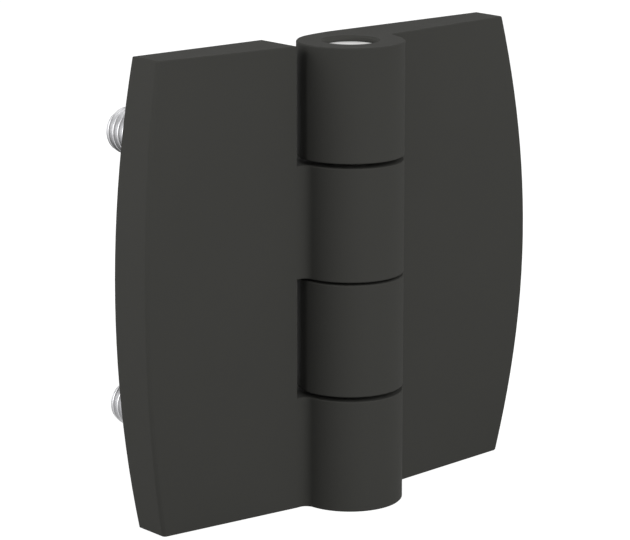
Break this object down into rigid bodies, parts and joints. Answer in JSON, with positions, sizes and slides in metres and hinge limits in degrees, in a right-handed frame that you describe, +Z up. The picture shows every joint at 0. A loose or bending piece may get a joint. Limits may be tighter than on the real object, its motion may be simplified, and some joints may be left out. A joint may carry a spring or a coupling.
{
  "type": "plastic hinge",
  "caption": "Moulded plastic surface hinge with interleaved knuckles on a steel pin, bowed leaf ends, ribbed backs and moulded-in threaded studs.",
  "frame": {"origin": "middle of the fixed leaf's two studs, on the plane of the leaves' back faces, which is the panel's surface", "axes": "+X from the fixed leaf to the moving leaf, +Y the way the studs point, into the panel, +Z up, along the pin"},
  "size_m": [0.064, 0.0282, 0.06],
  "materials": {
    "leaf_plastic": "matte black moulded plastic with a fine grain",
    "pin_steel": "bright turned steel",
    "stud_steel": "bright zinc-plated steel"
  },
  "bodies": {
    "fixed_side": {"fixed_leaf": "leaf_plastic", "hinge_pin": "pin_steel", "fixed_upper_stud": "stud_steel", "fixed_lower_stud": "stud_steel"},
    "moving_side": {"moving_leaf": "leaf_plastic", "moving_upper_stud": "stud_steel", "moving_lower_stud": "stud_steel"}
  },
  "joints": [
    {"name": "leaf_swing", "type": "hinge", "parent": "fixed_side", "child": "moving_side", "pos_m": [0.02, -0.00735, 0], "axis": [0, 0, -1], "range_deg": [-75, 180]}
  ]
}
